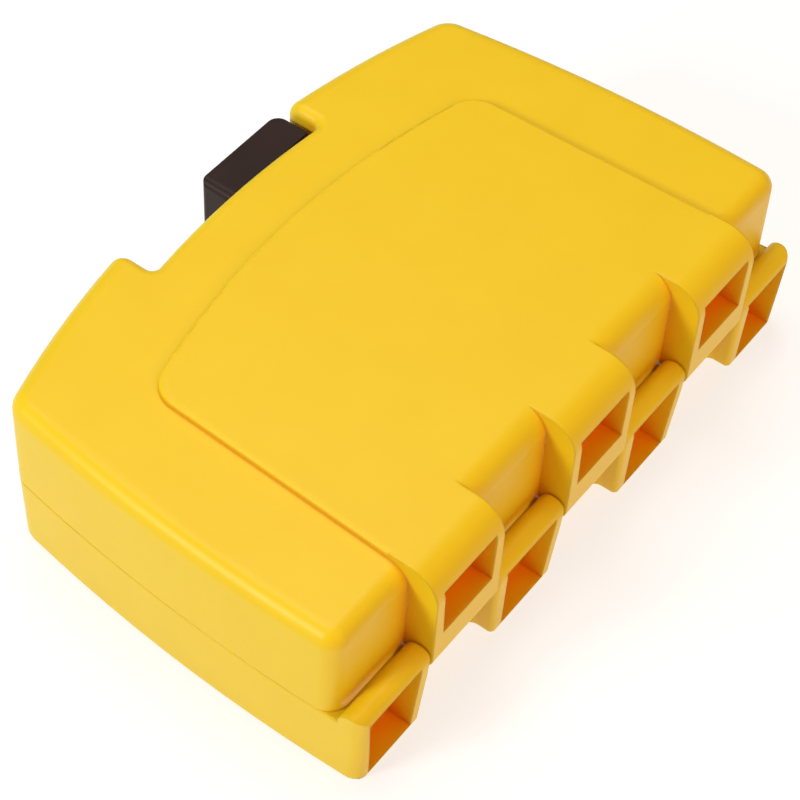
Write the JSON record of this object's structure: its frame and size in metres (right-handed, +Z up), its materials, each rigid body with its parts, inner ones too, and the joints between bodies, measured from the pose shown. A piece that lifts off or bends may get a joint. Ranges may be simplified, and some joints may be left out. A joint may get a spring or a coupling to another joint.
{
  "type": "bit set case",
  "caption": "Closed moulded carrying case for screwdriver bits: hinged lid with hollow knuckles, sliding latch in a notch, swinging racks with bits inside.",
  "frame": {"origin": "centre of the bottom of the overall bounding box", "axes": "+X along the long side and the hinge line, +Y towards the hinge, +Z up; the latch is on the -Y side"},
  "size_m": [0.2006, 0.133, 0.0566],
  "materials": {
    "case_plastic": "satin, finely textured, moulded",
    "latch_plastic": "satin, moulded",
    "rack_plastic": "satin, moulded",
    "bit_steel": "shot-blasted tool steel",
    "driver_steel": "dark oxide tool steel",
    "sleeve_steel": "polished, plated",
    "magnet": "nickel-plated"
  },
  "bodies": {
    "base": {"base_shell": "case_plastic", "power_bit_rack": "rack_plastic", "power_bit_ph2": "bit_steel", "power_bit_pz2": "bit_steel", "power_bit_t20": "bit_steel", "power_bit_t25": "bit_steel", "power_bit_t30": "bit_steel"},
    "lid": {"lid_shell": "case_plastic", "lid_clip_bar": "rack_plastic", "holder_core": "driver_steel", "holder_magnet": "magnet", "holder_sleeve": "sleeve_steel", "nut_driver_10mm": "driver_steel", "nut_driver_6mm": "driver_steel", "nut_driver_8mm": "driver_steel"},
    "latch": {"slide_latch": "latch_plastic"},
    "rear_rack": {"bit_rack_rear": "rack_plastic", "bit_ph1": "bit_steel", "bit_ph2": "bit_steel", "bit_ph3": "bit_steel", "bit_pz1": "bit_steel", "bit_pz2": "bit_steel", "bit_pz3": "bit_steel"},
    "middle_rack": {"bit_rack_middle": "rack_plastic", "bit_t10": "bit_steel", "bit_t15": "bit_steel", "bit_t20": "bit_steel", "bit_t25": "bit_steel", "bit_t27": "bit_steel", "bit_t30": "bit_steel", "bit_h4": "bit_steel", "bit_h5": "bit_steel", "bit_sq2": "bit_steel", "bit_s5": "bit_steel", "bit_s6": "bit_steel"}
  },
  "joints": [
    {"name": "lid_hinge", "type": "hinge", "parent": "base", "child": "lid", "pos_m": [0, 0.0625, 0.0245], "axis": [-1, 0, 0], "range_deg": [0, 140]},
    {"name": "latch_slide", "type": "slide", "parent": "base", "child": "latch", "axis": [1, 0, 0], "range_m": [0, 0.0332]},
    {"name": "rear_rack_pivot", "type": "hinge", "parent": "base", "child": "rear_rack", "pos_m": [0, 0.046, 0.0126], "axis": [-1, 0, 0], "range_deg": [0, 85]},
    {"name": "middle_rack_pivot", "type": "hinge", "parent": "base", "child": "middle_rack", "pos_m": [0, 0.013, 0.0126], "axis": [-1, 0, 0], "range_deg": [0, 85]}
  ]
}
